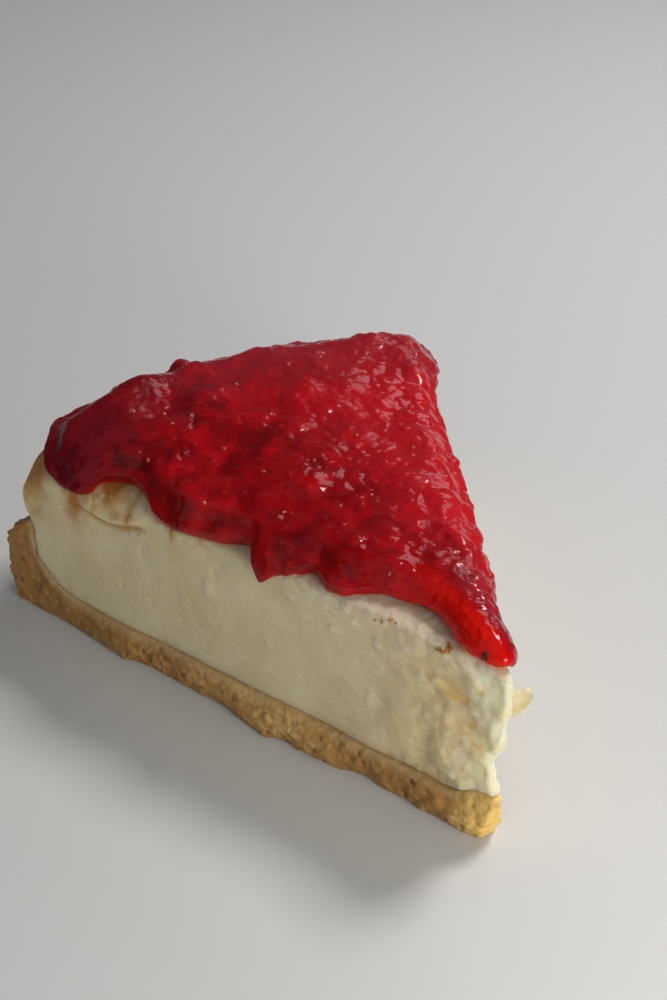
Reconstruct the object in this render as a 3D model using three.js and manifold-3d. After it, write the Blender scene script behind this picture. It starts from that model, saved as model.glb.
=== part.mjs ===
// A slice of baked cheesecake: a biscuit base with a raised rim, a deep cheese filling
// and a strawberry topping that hangs over its edges in lobes.
// Millimetres, +Z up. The slice rests on z = 0, its tip points along -Y and its round
// rim faces +Y. The cut that faces -X is called the left cut.
import * as THREE from "three";
import { mergeVertices } from "three/addons/utils/BufferGeometryUtils.js";
import Module from "manifold-3d";

// Driving dimensions
const HALF_ANGLE = THREE.MathUtils.degToRad(25.3);
const RIM_RADIUS = 122; // outside of the biscuit rim, from the tip
const RIM_THICKNESS = 7.4; // biscuit rim, measured along a radius
const BASE_THICKNESS = 7.4; // biscuit under the filling
const RIM_INNER_HEIGHT = 24.4; // biscuit rim, where it meets the filling
const RIM_OUTER_HEIGHT = 18.6; // biscuit rim, at its outer edge
const TOP_HEIGHT = 42; // filling, away from its edges
const TOPPING_THICKNESS = 5;
const TOPPING_EDGE = 2.9; // topping, where its rounded edge starts
const BISCUIT_GAP = 0.45; // air between biscuit and filling
const TOPPING_GAP = 0.5; // air between filling and topping

// The tip's place, which puts the middle of the whole slice on the origin
const TIP_X = 0;
const TIP_Y = -60.3;

// Steps between the points of each surface
const STATION_STEP = 2.7; // from the tip to the rim
const HIDDEN_STEP = 4.8; // from cut to cut, on faces that another piece covers
const TOPPING_STEP = 2.5; // both ways on the topping

// Heights above the rest plane and how far the tip's edge stands beyond the point
// where the two cuts meet: the filling is torn back just above the biscuit
const TIP_EDGE = [
  [0, -0.8],
  [8.5, 1.5],
  [13, 1.1],
  [17.5, -1.2],
  [20, -1.7],
  [24, 0.5],
  [28, 1.2],
  [30.5, 0.4],
  [33, 1.4],
  [37, 0.5],
  [42, 0.3],
];
const TIP_REACH = 4; // how fast the torn tip evens out along the cuts
const NOSE_HALF_WIDTH = 0.7;
const NOSE_ROUNDING = 0.9;
const TIP_START = 1.2; // distance from the tip where biscuit and filling begin
const RIM_BLEND_START = 100; // radius where biscuit and filling start to follow their outsides

// Height and radius of the filling's outside, which swells over the biscuit rim. Above
// that a quarter ellipse rounds it off to the top.
const FILLING_RADIUS = 114.1;
const SHOULDER = { radius: 110, height: 35, reach: 7.9, rise: TOP_HEIGHT - 35 };
const FILLING_RIM = [
  [15, FILLING_RADIUS],
  [25.2, FILLING_RADIUS + 0.2],
  [27.4, 116.7],
  [SHOULDER.height, SHOULDER.radius + SHOULDER.reach],
];

// The filling's top falls towards each cut: drop at the rim and how far in it reaches
const LEFT_DROP = 6;
const RIGHT_DROP = 2.5;
const DROP_AT_TIP = 0.7;
const DROP_REACH = 4;

// How far the topping hangs down over a cut (+) or stays back from it (-), against
// the distance from the tip: each pair is the peak of a lobe or the depth of a bay
const LEFT_HANG = [
  [0, 0.2],
  [5, -0.3],
  [21, -7],
  [30, -6],
  [36, -1.6],
  [39, -1.9],
  [44.5, -5],
  [48.5, -0.7],
  [50.8, 0.9],
  [53.3, 1.7],
  [55.5, 0.4],
  [58.5, -4.4],
  [67, -1.7],
  [75, -0.1],
  [79, -0.8],
  [90, -6.6],
  [95.8, -5],
  [98.8, 0.4],
  [104, 0],
  [114, -3],
];
const RIGHT_HANG = [
  [0, 0.9],
  [6, 0.4],
  [10, -0.6],
  [17, -1.2],
  [23, 0],
  [28.5, 0],
  [34, -1],
  [44, -0.3],
  [60, -1.3],
  [80, -1.4],
  [91, -1.8],
  [97, -0.5],
  [103.5, 0.4],
  [112, 0.1],
];

// The topping's radius at the rim, against the share of the width from cut to cut
const TOPPING_RIM = [
  [-1, 109.5],
  [-0.8, 115.4],
  [-0.5, 115.8],
  [-0.1, 115.8],
  [0.25, 115.5],
  [0.47, 112.4],
  [0.62, 113.4],
  [0.74, 115.4],
  [0.88, 114],
  [1, 113],
];
const TOPPING_START = 2; // distance from the tip where its nose begins
const TOPPING_NOSE = 2; // how far the nose swells beyond that
const TOPPING_SWELL = 1.9; // how far its edge swells outward over a cut
const TOPPING_RIM_SWELL = 3.8; // and at the rim
const CORNER_SWELL = 0.55; // share of that swelling at the sheet's corners
const NOSE_TAPER = 0.45; // how much less the nose swells beside its middle
const DRIP_THICKNESS = 2.1; // topping that hangs down a cut
const CORNER_RADIUS = 1;
const ROUNDING_WIDTH = 5; // from the edge to full thickness

// Pieces of strawberry that raise the topping, by their distance from the tip
const BERRIES = [
  { radius: 113, share: -0.13, size: 5, lift: 1.9 },
  { radius: 111, share: -0.42, size: 14, lift: 1.3 },
  { radius: 105, share: -0.6, size: 16, lift: 1.9 },
  { radius: 96, share: 0.45, size: 10, lift: 0.9 },
  { radius: 70, share: 0.75, size: 7, lift: 0.9 },
  { radius: 62, share: -0.3, size: 8, lift: 1.1 },
  { radius: 34, share: 0.7, size: 5, lift: 1.3 },
  { radius: 20, share: 0.6, size: 5, lift: 1.2 },
  { radius: 5, share: 0.4, size: 4, lift: 0.9 },
];

// Uneven surfaces: how wide and high the bumps of each kind are, and their seed
const CRUMBS = { size: 5.5, height: 1, seed: 11 };
const BASE_LUMPS = { size: 13, height: 1, seed: 12 };
const TOP_WAVES = { size: 18, height: 0.25, seed: 21 };
const CUT_WAVES = { size: 13, height: 0.4, seed: 22 };
const CUT_CRAGS = { size: 5.5, height: 1, seed: 23 };
const OUTSIDE_WAVES = { size: 12, height: 0.5, seed: 24 };
const FRUIT_LUMPS = { size: 11, height: 0.8, seed: 31 };
const DIMPLES = { size: 5, height: 0.45, seed: 32 };
const EDGE_WAVES = { size: 6, height: 0.5, seed: 33 };
const CUT_APART = 40; // keeps the bumps of the two cuts unlike
const CRAG_REACH = 22; // distance from the tip over which the filling is ragged
const CRAGS_AT_TIP = 0.75;
const CRAGS_ELSEWHERE = 0.15;

// Small helpers
const { clamp, lerp } = THREE.MathUtils;

function smooth(share) {
  const t = clamp(share, 0, 1);
  return t * t * (3 - 2 * t);
}

// The value between neighbouring pairs, levelling out at each of them
function between(pairs, at) {
  if (at <= pairs[0][0]) return pairs[0][1];
  for (let i = 1; i < pairs.length; i++) {
    const [start, from] = pairs[i - 1];
    const [end, to] = pairs[i];
    if (at <= end) return lerp(from, to, smooth((at - start) / (end - start)));
  }
  return pairs[pairs.length - 1][1];
}

// A fixed number from -1 to 1 for each point of a whole-number grid
function gridValue(i, j, k, seed) {
  let bits = Math.imul(i, 374761393) + Math.imul(j, 668265263);
  bits += Math.imul(k, 1440662683) + Math.imul(seed, 69069069);
  bits = Math.imul(bits ^ (bits >>> 13), 1274126177);
  bits ^= bits >>> 16;
  return ((bits >>> 0) / 4294967295) * 2 - 1;
}

// Smooth bumps up and down by their height, about as wide as size
function bumps(x, y, z, { size, height, seed }) {
  const [i, j, k] = [x, y, z].map((value) => Math.floor(value / size));
  const [u, v, w] = [x / size - i, y / size - j, z / size - k].map(smooth);
  const row = (dj, dk) =>
    lerp(gridValue(i, j + dj, k + dk, seed), gridValue(i + 1, j + dj, k + dk, seed), u);
  return height * lerp(lerp(row(0, 0), row(1, 0), v), lerp(row(0, 1), row(1, 1), v), w);
}

// A point of the slice: share runs from -1 on the left cut to 1 on the right one,
// and aside moves it at right angles to the radius, towards higher shares
function slicePoint(radius, share, aside, height) {
  const angle = share * HALF_ANGLE;
  return new THREE.Vector3(
    TIP_X + radius * Math.sin(angle) + aside * Math.cos(angle),
    TIP_Y + radius * Math.cos(angle) - aside * Math.sin(angle),
    height,
  );
}

// The torn tip moves along Y, and biscuit and filling share that move
function tearTip(point, radius, share) {
  const fade = Math.exp((TIP_START - radius) / TIP_REACH);
  const roundness = NOSE_ROUNDING * (1 - share ** 2) * fade ** 3;
  point.y -= (between(TIP_EDGE, point.z) + TIP_START) * fade + roundness;
  return point;
}

const CROWDING = 0.18; // how much closer together the points are next to a cut

// The closed surface of a piece that fills a warped box. Its three directions are
// along (tip to rim), across (left cut to right cut) and up. place gives the point.
function boxSurface({ stations, acrossSteps, upSteps, place }) {
  const positions = [];
  const triangles = [];
  const known = new Map();
  const vertex = ([along, across, up]) => {
    const key = [along, across, up].map((value) => value.toFixed(5)).join();
    if (!known.has(key)) {
      known.set(key, positions.length / 3);
      positions.push(...place(along, across, up).toArray());
    }
    return known.get(key);
  };
  const triangle = (a, b, c) => triangles.push(vertex(a), vertex(b), vertex(c));
  const quad = (a, b, c, d) => {
    triangle(a, b, c);
    triangle(a, c, d);
  };
  // Points crowd a little towards the cuts, where the surfaces turn
  const sharesAt = (along) => {
    const steps = acrossSteps(along);
    return Array.from({ length: steps + 1 }, (_, i) => {
      const even = (2 * i) / steps - 1;
      return even * (1 + CROWDING - CROWDING * even ** 2);
    });
  };
  const levels = Array.from({ length: upSteps + 1 }, (_, i) => i / upSteps);
  const last = stations.length - 1;

  // Both cuts
  for (let i = 0; i < last; i++) {
    const [near, far] = [stations[i], stations[i + 1]];
    for (let j = 0; j < upSteps; j++) {
      const [low, high] = [levels[j], levels[j + 1]];
      quad([near, 1, low], [far, 1, low], [far, 1, high], [near, 1, high]);
      quad([near, -1, low], [near, -1, high], [far, -1, high], [far, -1, low]);
    }
  }
  // Tip and rim
  for (const end of [0, last]) {
    const along = stations[end];
    const shares = sharesAt(along);
    for (let k = 1; k < shares.length; k++) {
      for (let j = 0; j < upSteps; j++) {
        const corners = [
          [along, shares[k - 1], levels[j]],
          [along, shares[k - 1], levels[j + 1]],
          [along, shares[k], levels[j + 1]],
          [along, shares[k], levels[j]],
        ];
        quad(...(end === last ? corners : corners.reverse()));
      }
    }
  }
  // Underside and top: each pair of neighbouring rows is joined point by point
  for (let i = 0; i < last; i++) {
    const near = sharesAt(stations[i]);
    const far = sharesAt(stations[i + 1]);
    let [a, b] = [0, 0];
    while (a < near.length - 1 || b < far.length - 1) {
      const nearNext = b === far.length - 1 || (a < near.length - 1 && near[a + 1] <= far[b + 1]);
      const next = nearNext ? [stations[i], near[a + 1]] : [stations[i + 1], far[b + 1]];
      const corners = [[stations[i], near[a]], next, [stations[i + 1], far[b]]];
      triangle(...corners.map((corner) => [...corner, 1]));
      triangle(...corners.map((corner) => [...corner, 0]).reverse());
      if (nearNext) a++;
      else b++;
    }
  }
  const geometry = new THREE.BufferGeometry();
  geometry.setAttribute("position", new THREE.Float32BufferAttribute(positions, 3));
  geometry.setIndex(triangles);
  return geometry;
}

function evenStations(start, end, step) {
  const count = Math.round((end - start) / step);
  return Array.from({ length: count + 1 }, (_, i) => lerp(start, end, i / count));
}

// Steps from cut to cut at one distance from the tip
function stepsAt(radius, step) {
  return Math.max(2, Math.round((2 * radius * HALF_ANGLE) / step));
}

// The biscuit's upper side in a cut: a lump at the tip, the flat base, a fillet, the
// inside of the rim and its sloping top. x is the radius and y the height.
function biscuitProfile() {
  const inner = RIM_RADIUS - RIM_THICKNESS;
  const profile = new THREE.Path();
  profile.moveTo(TIP_START, 12.2);
  profile.bezierCurveTo(5, 12.4, 6, BASE_THICKNESS, 11, BASE_THICKNESS);
  profile.lineTo(inner - 12.6, BASE_THICKNESS);
  profile.quadraticCurveTo(inner - 4.6, BASE_THICKNESS + 0.4, inner, 15);
  profile.lineTo(inner + 0.6, RIM_INNER_HEIGHT - 0.6);
  profile.quadraticCurveTo(inner + 0.8, RIM_INNER_HEIGHT, inner + 1.8, RIM_INNER_HEIGHT - 0.5);
  const outer = RIM_RADIUS + 0.7;
  profile.lineTo(outer - 1.2, RIM_OUTER_HEIGHT + 1.2);
  profile.quadraticCurveTo(outer - 0.1, RIM_OUTER_HEIGHT + 0.3, outer, RIM_OUTER_HEIGHT - 1);
  return profile;
}

const PROFILE = biscuitProfile();
const PROFILE_STEPS = 400;
const PROFILE_POINTS = PROFILE.getSpacedPoints(PROFILE_STEPS);

// Height of the biscuit under the filling
function biscuitTop(radius) {
  const next = PROFILE_POINTS.findIndex((point) => point.x >= radius);
  if (next <= 0) return PROFILE_POINTS[0].y;
  const [low, high] = [PROFILE_POINTS[next - 1], PROFILE_POINTS[next]];
  return lerp(low.y, high.y, (radius - low.x) / (high.x - low.x));
}

// How far the crumbly biscuit's foot spreads beyond the cuts, against the height
const FOOT_SPREAD = [
  [0, 1],
  [4, 1.4],
  [8, 0.3],
  [12, 0],
];
// The same spread as a multiple, against the radius
const FOOT_SPREAD_ALONG = [
  [0, 1],
  [12, 2],
  [62, 2],
  [88, 1.1],
  [100, 1],
];
const UNDERSIDE_RADIUS = 121.5;
const OUTSIDE_START = 0.95; // share of the profile's length where the outside begins
const OUTSIDE_BULGE = 1.2;

function biscuitPoint(along, across, up) {
  const top = PROFILE.getPointAt(along);
  const rimShare = smooth((top.x - RIM_BLEND_START) / (RIM_RADIUS - RIM_BLEND_START));
  const underRim = rimArc(along) * (UNDERSIDE_RADIUS - RIM_BLEND_START);
  const under = Math.min(top.x, RIM_BLEND_START) + underRim;
  const height = top.y * up;
  const radius = lerp(under, top.x, up);
  const outside = smooth((along - OUTSIDE_START) / (1 - OUTSIDE_START));
  const crumbs = bumps(radius, across * radius * HALF_ANGLE, height, CRUMBS);
  const lumps = bumps(radius, across * radius * HALF_ANGLE, height, BASE_LUMPS);
  const foot = between(FOOT_SPREAD, height) * between(FOOT_SPREAD_ALONG, radius);
  const spread = foot * (1 + 0.9 * lumps) + 0.6 * crumbs;
  const aside = across * (spread + NOSE_HALF_WIDTH * Math.exp(-radius / TIP_REACH));
  const bulge = OUTSIDE_BULGE * Math.sin(Math.PI * up);
  const swell = outside * (0.7 * crumbs + 0.6 * lumps + bulge);
  const lift = 0.5 * rimShare * up * lumps * outside;
  return tearTip(slicePoint(radius + swell, across, aside, height + lift), radius, across);
}

// Share of the profile's length beyond the start of the rim
function rimArc(along) {
  const next = PROFILE_POINTS.findIndex((point) => point.x >= RIM_BLEND_START);
  const start = next / PROFILE_STEPS;
  return Math.max(0, (along - start) / (1 - start));
}

function biscuitBase() {
  const length = PROFILE.getLength();
  return boxSurface({
    stations: evenStations(0, 1, STATION_STEP / length),
    acrossSteps: (along) => stepsAt(PROFILE.getPointAt(along).x, HIDDEN_STEP),
    upSteps: 4,
    place: biscuitPoint,
  });
}

// Cheese filling
function fillingTop(radius, share) {
  const width = radius * HALF_ANGLE;
  const rimShare = (radius / FILLING_RADIUS) ** 2;
  const drop = (most, inside) => lerp(DROP_AT_TIP, most, rimShare) * Math.exp(-inside / DROP_REACH);
  const left = drop(LEFT_DROP, width * (1 + share));
  const right = drop(RIGHT_DROP, width * (1 - share));
  return TOP_HEIGHT - left - right + bumps(radius, share * width, 0, TOP_WAVES);
}

// Radius of the filling's outside at a height, and height of its shoulder at a radius
function rimRadius(height) {
  if (height <= SHOULDER.height) return between(FILLING_RIM, height);
  const climb = Math.min(1, (height - SHOULDER.height) / SHOULDER.rise);
  return SHOULDER.radius + SHOULDER.reach * Math.sqrt(1 - climb * climb);
}

function shoulderFall(radius) {
  const out = clamp((radius - SHOULDER.radius) / SHOULDER.reach, 0, 0.97);
  return SHOULDER.rise * (1 - Math.sqrt(1 - out * out));
}

// How far a cut of the filling stands out of its plane
function cutRelief(radius, share, height) {
  const side = Math.sign(share) * CUT_APART;
  const ragged = CRAGS_ELSEWHERE + CRAGS_AT_TIP * Math.exp(-((radius / CRAG_REACH) ** 2));
  const crags = ragged * bumps(radius, side, height, CUT_CRAGS);
  const blunt = NOSE_HALF_WIDTH * Math.exp(-radius / TIP_REACH);
  return bumps(radius, side, height, CUT_WAVES) + crags + blunt;
}

const RIM_HALF_LENGTH = FILLING_RADIUS * HALF_ANGLE;

function fillingPoint(along, across, up) {
  const floor = biscuitTop(along) + BISCUIT_GAP;
  const height = lerp(floor, fillingTop(along, across), up);
  const edge = smooth((along - RIM_BLEND_START) / (FILLING_RADIUS - RIM_BLEND_START));
  const outside = rimRadius(lerp(floor, TOP_HEIGHT, up));
  const radius = along + edge * (outside - FILLING_RADIUS);
  const uneven = edge * up * bumps(across * RIM_HALF_LENGTH, height, 0, OUTSIDE_WAVES);
  const aside = across * cutRelief(along, across, height);
  return tearTip(slicePoint(radius + uneven, across, aside, height), along, across);
}

// A thin shaving of filling that stands out from the right cut at the tip
const FLAKE = { thickness: 0.9, radius: 1.5 };
const FLAKE_ROOT = [0, 29.4];
// Each curve of its edge: distance out of the cut and height of its bend and of its end
const FLAKE_EDGE = [
  [2, 28.4, 3.4, 29.8],
  [5, 31.8, 5.7, 34.4],
  [5.8, 36, 4.8, 36.1],
  [3.2, 34.8, 0, 35.9],
];

function flake() {
  const outline = new THREE.Shape();
  outline.moveTo(...FLAKE_ROOT);
  FLAKE_EDGE.forEach((curve) => outline.quadraticCurveTo(...curve));
  const solid = new THREE.ExtrudeGeometry(outline, {
    depth: FLAKE.thickness,
    bevelEnabled: false,
    curveSegments: 4,
  });
  // The outline's x points out of the right cut and its y up
  const outward = new THREE.Vector3(Math.cos(HALF_ANGLE), -Math.sin(HALF_ANGLE), 0);
  const up = new THREE.Vector3(0, 0, 1);
  const along = new THREE.Vector3().crossVectors(outward, up);
  const turn = new THREE.Matrix4().makeBasis(outward, up, along);
  const place = slicePoint(FLAKE.radius, 1, 0, 0);
  return solid.applyMatrix4(turn.setPosition(place.x, place.y, 0));
}

function cheeseFilling() {
  const body = boxSurface({
    stations: evenStations(TIP_START, FILLING_RADIUS, STATION_STEP),
    acrossSteps: (radius) => stepsAt(radius, HIDDEN_STEP),
    upSteps: 12,
    place: fillingPoint,
  });
  return join(body, flake());
}

// Strawberry topping: a sheet draped on the filling, with rounded edges
function berryLift(radius, across) {
  const aside = across * radius * HALF_ANGLE;
  const lifts = BERRIES.map((berry) => {
    const away = Math.hypot(radius - berry.radius, aside - berry.share * berry.radius * HALF_ANGLE);
    return berry.lift * (1 - smooth(away / berry.size));
  });
  return lifts.reduce((sum, lift) => sum + lift, 0);
}

function toppingThickness(radius, across, inset) {
  const lumps = bumps(radius, across * radius * HALF_ANGLE, 0, FRUIT_LUMPS);
  const dimples = bumps(radius, across * radius * HALF_ANGLE, 0, DIMPLES);
  const full = TOPPING_THICKNESS + lumps + dimples + berryLift(radius, across);
  const nearEdge = 1 - clamp(inset / ROUNDING_WIDTH, 0, 1);
  return lerp(TOPPING_EDGE, full, Math.sqrt(1 - nearEdge ** 2));
}

function toppingPoint(along, across, up) {
  const side = across < 0 ? -1 : 1;
  const rim = between(TOPPING_RIM, across);
  const radius = lerp(TOPPING_START, rim, along);
  const width = radius * HALF_ANGLE;
  const hang = between(side < 0 ? LEFT_HANG : RIGHT_HANG, radius);
  const reach = Math.max(width + hang, 0.15);
  const distance = Math.abs(across) * reach;
  const over = Math.max(0, distance - width);
  const share = (side * Math.min(distance, width)) / width;

  // The filling's skin under this point, and which way it faces
  const turn = Math.min(over / CORNER_RADIUS, Math.PI / 2);
  const down = Math.max(0, over - (CORNER_RADIUS * Math.PI) / 2);
  const facing = { aside: Math.sin(turn), height: Math.cos(turn) };
  const inset = Math.min(reach - distance, rim - radius, radius + TOPPING_NOSE);
  const full = toppingThickness(radius, across, inset);
  const thickness = lerp(full, Math.min(full, DRIP_THICKNESS), smooth(over / 2));
  const off = TOPPING_GAP + up * thickness;
  const skin = fillingTop(radius, share) - shoulderFall(radius);
  let aside = (CORNER_RADIUS + off) * facing.aside;
  let height = skin - CORNER_RADIUS * (1 - facing.height) - down + off * facing.height;

  // The edge swells along the skin, away from the sheet
  const atCut = Math.abs(across) === 1;
  const atRim = along === 1;
  const atNose = along === 0;
  const corner = atCut && (atRim || atNose) ? CORNER_SWELL : 1;
  const round = Math.sqrt(1 - (2 * up - 1) ** 2) * corner;
  const swell = TOPPING_SWELL + bumps(radius, side * CUT_APART, rim, EDGE_WAVES);
  if (atCut) {
    aside += round * swell * facing.height;
    height -= round * swell * facing.aside;
  }
  const outer = radius + (atRim ? round * TOPPING_RIM_SWELL : 0);
  const point = slicePoint(outer, share, side * aside, height);
  if (atNose) point.y -= round * TOPPING_NOSE * (1 - NOSE_TAPER * across ** 2);
  return point;
}

function strawberryTopping() {
  const longest = Math.max(...TOPPING_RIM.map(([, radius]) => radius));
  return boxSurface({
    stations: evenStations(0, 1, TOPPING_STEP / longest),
    acrossSteps: (along) => stepsAt(along * longest, TOPPING_STEP),
    upSteps: 4,
    place: toppingPoint,
  });
}

// Joining two closed surfaces
const wasm = await Module();
wasm.setup();

function solid(geometry) {
  const merged = mergedCopy(geometry);
  return new wasm.Manifold(
    new wasm.Mesh({
      numProp: 3,
      vertProperties: merged.attributes.position.array,
      triVerts: new Uint32Array(merged.index.array),
    }),
  );
}

function mergedCopy(geometry) {
  const bare = new THREE.BufferGeometry();
  bare.setAttribute("position", geometry.attributes.position);
  bare.setIndex(geometry.index);
  return mergeVertices(bare, 1e-4);
}

function join(first, second) {
  const mesh = solid(first).add(solid(second)).getMesh();
  const joined = new THREE.BufferGeometry();
  joined.setAttribute("position", new THREE.Float32BufferAttribute(mesh.vertProperties, 3));
  joined.setIndex(new THREE.BufferAttribute(mesh.triVerts, 1));
  return joined;
}

// The slice
function piece(name, geometry, color, roughness) {
  const material = new THREE.MeshStandardMaterial({ color, roughness, metalness: 0 });
  const mesh = new THREE.Mesh(geometry, material);
  mesh.name = name;
  return mesh;
}

const slice = new THREE.Group();
slice.add(piece("biscuit_base", biscuitBase(), 0xb98a4e, 0.85));
slice.add(piece("cheese_filling", cheeseFilling(), 0xf1e6c4, 0.6));
slice.add(piece("strawberry_topping", strawberryTopping(), 0xb3121c, 0.2));

export default slice;
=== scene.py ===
# The looks of a slice of baked cheesecake with a strawberry topping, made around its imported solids.
# Lengths are millimetres unless a name says metres. The slice's tip points along -Y and the cut that
# faces -X is the left one.
import math
from itertools import product

import bmesh
import bpy
import numpy as np
from mathutils import Matrix, Vector
from mathutils.bvhtree import BVHTree


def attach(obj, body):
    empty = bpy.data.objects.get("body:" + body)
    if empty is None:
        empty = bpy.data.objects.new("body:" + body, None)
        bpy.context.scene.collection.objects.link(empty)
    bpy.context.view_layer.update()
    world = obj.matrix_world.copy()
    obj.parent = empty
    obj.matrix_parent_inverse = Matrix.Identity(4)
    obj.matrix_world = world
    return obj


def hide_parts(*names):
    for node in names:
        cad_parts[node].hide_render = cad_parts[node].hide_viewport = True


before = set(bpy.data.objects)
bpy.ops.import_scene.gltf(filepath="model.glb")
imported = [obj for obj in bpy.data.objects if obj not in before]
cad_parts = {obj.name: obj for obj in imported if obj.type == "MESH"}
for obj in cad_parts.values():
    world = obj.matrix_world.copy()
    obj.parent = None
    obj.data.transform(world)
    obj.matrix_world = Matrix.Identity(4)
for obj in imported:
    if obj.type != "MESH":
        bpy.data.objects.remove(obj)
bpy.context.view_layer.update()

MM = 0.001  # metres in a millimetre

# The slice's own sizes, as its solids have them
TIP = Vector((0, -60.3))
HALF_ANGLE = math.radians(25.3)
RIM_RADIUS = 122

# Directions out of the two cuts, and along them from the tip
LEFT_OUTWARD = np.array((-math.cos(HALF_ANGLE), -math.sin(HALF_ANGLE), 0))
RIGHT_OUTWARD = np.array((math.cos(HALF_ANGLE), -math.sin(HALF_ANGLE), 0))
LEFT_ALONG = np.array((-math.sin(HALF_ANGLE), math.cos(HALF_ANGLE), 0))
RIGHT_ALONG = np.array((math.sin(HALF_ANGLE), math.cos(HALF_ANGLE), 0))

# Camera: where the photograph was taken from
FOCAL_LENGTH_PIXELS = 1600
PICTURE_HEIGHT_PIXELS = 1000
SENSOR_MM = 36
NEAREST_SEEN_METRES = 0.01
CAMERA_PLACE = Vector((-138.9, -224.1, 230.1))
CAMERA_AZIMUTH = math.radians(-31.74)
CAMERA_PITCH = 0.6223
CAMERA_ROLL = 0.0406


def linked(name, data):
    """A new object of the scene."""
    made = bpy.data.objects.new(name, data)
    bpy.context.collection.objects.link(made)
    return made


def make_camera():
    """Sets up the camera, and gives the level directions ahead of it and to its right."""
    data = bpy.data.cameras.new("camera")
    data.sensor_width = SENSOR_MM
    data.lens = FOCAL_LENGTH_PIXELS / PICTURE_HEIGHT_PIXELS * SENSOR_MM
    data.clip_start = NEAREST_SEEN_METRES
    camera = linked("camera", data)
    level = Vector((-math.sin(CAMERA_AZIMUTH), math.cos(CAMERA_AZIMUTH), 0))
    forward = level * math.cos(CAMERA_PITCH) - Vector((0, 0, math.sin(CAMERA_PITCH)))
    right = Vector((level.y, -level.x, 0))
    up = right.cross(forward)
    rolled_right = right * math.cos(CAMERA_ROLL) + up * math.sin(CAMERA_ROLL)
    rolled_up = up * math.cos(CAMERA_ROLL) - right * math.sin(CAMERA_ROLL)
    turn = Matrix((rolled_right, rolled_up, -forward)).transposed()
    camera.matrix_world = Matrix.Translation(CAMERA_PLACE * MM) @ turn.to_4x4()
    bpy.context.scene.camera = camera
    return level, right


VIEW_LEVEL, VIEW_RIGHT = make_camera()


# Smooth seeded noise on arrays of points
CELL_STEPS = np.array((374761393, 668265263, 1440662683), np.int64)
SEED_STEP = 69069069
BIT_MIXER = 1274126177
FULL_WORD = 0xFFFFFFFF
GRAIN_STRAY = 0.42  # how far a grain's middle lies from its cell's, in cells


def lattice(cells, seed):
    """A fixed number from -1 to 1 for each whole-number cell."""
    bits = ((cells.astype(np.int64) * CELL_STEPS).sum(-1) + seed * SEED_STEP) & FULL_WORD
    bits = ((bits ^ (bits >> 13)) * BIT_MIXER) & FULL_WORD
    bits ^= bits >> 16
    return bits / (FULL_WORD / 2) - 1


def bumps(points, size, seed):
    """Smooth bumps from about -1 to 1, as wide as size, which may be one number or three."""
    scaled = points / np.asarray(size, float)
    cell = np.floor(scaled)
    share = scaled - cell
    weight = share**3 * (share * (share * 6 - 15) + 10)
    total = np.zeros(len(points))
    for corner in product((0, 1), repeat=3):
        part = np.where(corner, weight, 1 - weight).prod(-1)
        total += part * lattice(cell + corner, seed)
    return total


def layered(points, size, seed, layers=3):
    """Bumps with finer and weaker bumps on top."""
    steps = range(layers)
    whole = sum(0.5**step for step in steps)
    size = np.asarray(size, float)
    return sum(bumps(points, size * 0.5**step, seed + step) * 0.5**step for step in steps) / whole


def grains(points, size, seed):
    """Distance to the nearest of scattered middles, in sizes, and a number from -1 to 1 for each grain."""
    scaled = points / np.asarray(size, float)
    cell = np.floor(scaled)
    nearest = np.full(len(points), np.inf)
    owner = np.zeros(len(points))
    for step in product((-1, 0, 1), repeat=3):
        here = cell + step
        stray = np.stack([lattice(here, seed + axis) for axis in range(3)], -1)
        away = np.linalg.norm(scaled - (here + 0.5 + GRAIN_STRAY * stray), axis=-1)
        closer = away < nearest
        nearest = np.where(closer, away, nearest)
        owner = np.where(closer, lattice(here, seed + 3), owner)
    return nearest, owner


def ramp(values, start, end):
    """A smooth step from 0 at start to 1 at end."""
    share = np.clip((values - start) / (end - start), 0, 1)
    return share * share * (3 - 2 * share)


def fade(values, start, end):
    """A smooth step from 1 at start to 0 at end."""
    return 1 - ramp(values, start, end)


# Meshes as arrays
WELD = 0.02
CREASE = 0.8  # how sharp the sharp edges of a solid stay
SHARP_ANGLE = 0.9  # radians between two faces at a sharp edge
ALL_ROUND = math.tau  # more than two faces can turn, for a solid with no sharp edge
SHORTEST_WAY = 0.01
LAID_SHARE = 0.75  # share of the reach within which a face is laid on fully
LAID_ROUNDS = 4


def read(mesh):
    """Points and outward directions of a mesh, in millimetres."""
    points = np.empty(len(mesh.vertices) * 3, np.float32)
    mesh.vertices.foreach_get("co", points)
    normals = np.empty(len(mesh.vertices) * 3, np.float32)
    mesh.vertex_normals.foreach_get("vector", normals)
    return points.reshape(-1, 3).astype(float) / MM, normals.reshape(-1, 3).astype(float)


def write(mesh, points):
    mesh.vertices.foreach_set("co", (points * MM).astype(np.float32).ravel())
    mesh.update()


def store(mesh, **looks):
    """Keeps numbers for each vertex, which the materials read by their names."""
    for name, values in looks.items():
        layer = mesh.attributes.new(name, "FLOAT", "POINT")
        layer.data.foreach_set("value", np.asarray(values, np.float32))


def new_piece(name, points, faces):
    """A new object from points in millimetres."""
    mesh = bpy.data.meshes.new(name)
    mesh.from_pydata([Vector(point) * MM for point in points], [], faces)
    mesh.update()
    return linked(name, mesh)


def finish_mesh(piece, material):
    piece.data.materials.clear()
    piece.data.materials.append(material)
    for polygon in piece.data.polygons:
        polygon.use_smooth = True
    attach(piece, "root")


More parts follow.
